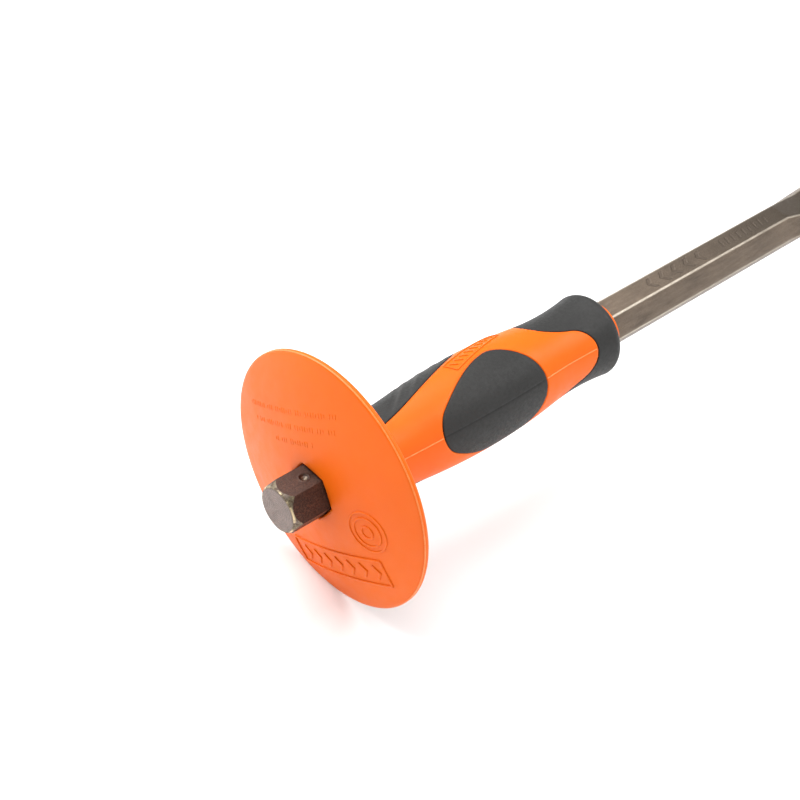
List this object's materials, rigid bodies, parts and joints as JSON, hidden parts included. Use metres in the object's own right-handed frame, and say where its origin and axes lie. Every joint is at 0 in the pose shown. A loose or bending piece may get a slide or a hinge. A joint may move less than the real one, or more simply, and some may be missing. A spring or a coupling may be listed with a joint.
{
  "type": "cold chisel",
  "caption": "Hexagonal steel cold chisel with a forged flat blade, a two-material hand grip and a round domed hand guard behind the striking end.",
  "frame": {"origin": "centre of the striking face, on the bar's axis", "axes": "+X along the bar from the striking face to the cutting edge; +Z square to the blade's broad faces, up; +Y to the left looking along +X"},
  "size_m": [0.3, 0.089, 0.089],
  "materials": {
    "bar_steel": "oxide-browned forged steel, machined bright at the striking face and the cutting edge",
    "grip_plastic": "satin moulded plastic, orange",
    "grip_rubber": "matte moulded soft elastomer, dark grey"
  },
  "bodies": {
    "root": {"chisel_bar": "bar_steel", "grip_body": "grip_plastic", "palm_pad": "grip_rubber", "thumb_pad": "grip_rubber", "front_collar": "grip_rubber"}
  },
  "joints": []
}
